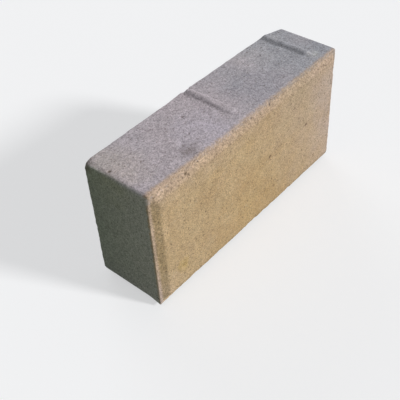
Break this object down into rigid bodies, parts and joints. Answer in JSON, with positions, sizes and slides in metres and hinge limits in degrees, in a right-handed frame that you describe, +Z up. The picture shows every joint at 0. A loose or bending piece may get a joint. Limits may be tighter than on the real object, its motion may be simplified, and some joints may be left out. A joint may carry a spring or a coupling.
{
  "type": "concrete paving stone",
  "caption": "Rectangular pressed concrete paving stone with a tan chamfered wearing face, grey sides and spacer nibs on its long sides, standing on one long side.",
  "frame": {"origin": "on the floor, under the middle of the stone as it stands on one long side", "axes": "+X along the length, +Y out of the bedding face, -Y out of the wearing face, +Z up across the width"},
  "size_m": [0.2, 0.057, 0.1024],
  "materials": {
    "concrete": "matt sandy concrete, tan on the wearing face and grey on the sides"
  },
  "bodies": {
    "root": {"paving_stone": "concrete"}
  },
  "joints": []
}
